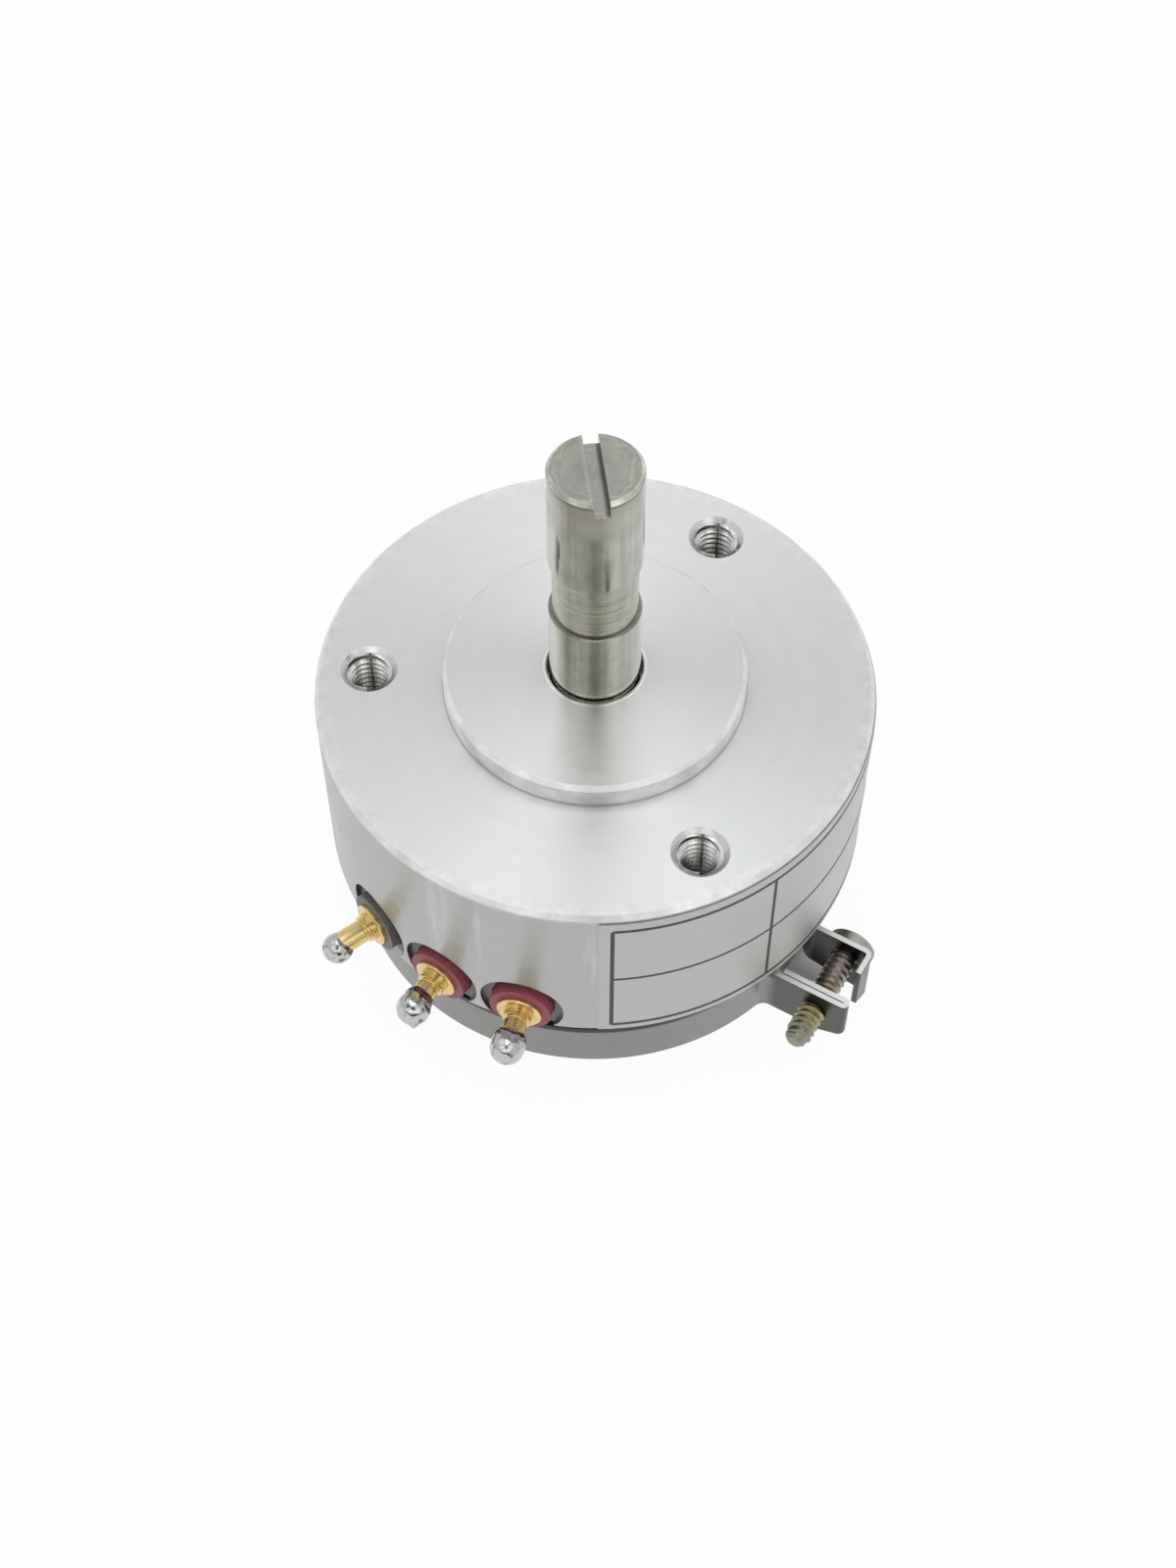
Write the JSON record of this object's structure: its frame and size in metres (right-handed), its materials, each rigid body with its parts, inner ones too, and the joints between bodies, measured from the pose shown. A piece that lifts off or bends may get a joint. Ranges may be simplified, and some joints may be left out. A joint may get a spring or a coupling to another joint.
{
  "type": "precision potentiometer",
  "caption": "Rotary precision potentiometer: round metal body with pilot boss and tapped mounting face, slotted shaft on ball bearings, side turret terminals and a clamp band.",
  "frame": {"origin": "on the shaft axis in the plane of the mounting face, at the centre of the mounting hole circle", "axes": "+Z along the shaft, away from the body; +X points away from the mounting hole at 180 degrees, and the middle terminal stands at 240 degrees from +X"},
  "size_m": [0.0387, 0.0409, 0.0421],
  "materials": {
    "housing_aluminium": "turned, clear",
    "cover_aluminium": "satin",
    "strap_steel": "plated, satin",
    "screw_steel": "yellow zinc plated",
    "label_film": "silver film with ruled lines",
    "insulator_resin": "moulded, dark red",
    "insulator_dark": "moulded, dark grey",
    "terminal_gold": "gold plated",
    "solder": "bright tin",
    "element_resin": "moulded, dark red",
    "track_film": "conductive film",
    "collector_metal": "plated",
    "lead_wire": "bare wire",
    "bearing_steel": "ground",
    "cage_metal": "pressed",
    "shaft_steel": "ground stainless",
    "spring_steel": "oiled",
    "hub_brass": "turned",
    "rotor_plastic": "moulded",
    "wiper_alloy": "spring alloy"
  },
  "bodies": {
    "housing": {"front_housing": "housing_aluminium", "rear_cover": "cover_aluminium", "clamp_band": "strap_steel", "clamp_screw": "screw_steel", "label": "label_film", "insulator_ccw": "insulator_dark", "insulator_wiper": "insulator_resin", "insulator_cw": "insulator_resin", "terminal_ccw": "terminal_gold", "terminal_wiper": "terminal_gold", "terminal_cw": "terminal_gold", "solder_tips": "solder", "element_ring": "element_resin", "resistive_track": "track_film", "collector_ring": "collector_metal", "lead_ccw": "lead_wire", "lead_wiper": "lead_wire", "lead_cw": "lead_wire", "outer_spacer": "bearing_steel", "retaining_ring": "spring_steel", "front_outer_ring": "bearing_steel", "rear_outer_ring": "bearing_steel"},
    "rotor": {"shaft": "shaft_steel", "front_inner_ring": "bearing_steel", "rear_inner_ring": "bearing_steel", "inner_spacer": "bearing_steel", "shaft_clip": "spring_steel", "rotor_hub": "hub_brass", "hub_set_screw": "spring_steel", "rotor_disc": "rotor_plastic", "wiper_contact": "wiper_alloy"},
    "front_ball_set": {"front_balls": "bearing_steel", "front_cage": "cage_metal"},
    "rear_ball_set": {"rear_balls": "bearing_steel", "rear_cage": "cage_metal"}
  },
  "joints": [
    {"name": "shaft_spin", "type": "hinge", "parent": "housing", "child": "rotor", "pos_m": [0, 0, 0], "axis": [0, 0, 1], "continuous": true},
    {"name": "front_cage_spin", "type": "hinge", "parent": "housing", "child": "front_ball_set", "pos_m": [0, 0, 0], "axis": [0, 0, 1], "continuous": true},
    {"name": "rear_cage_spin", "type": "hinge", "parent": "housing", "child": "rear_ball_set", "pos_m": [0, 0, 0], "axis": [0, 0, 1], "continuous": true}
  ],
  "couplings": [
    {"joint": "front_cage_spin", "follows": "shaft_spin", "ratio": 0.3947},
    {"joint": "rear_cage_spin", "follows": "shaft_spin", "ratio": 0.3947}
  ]
}
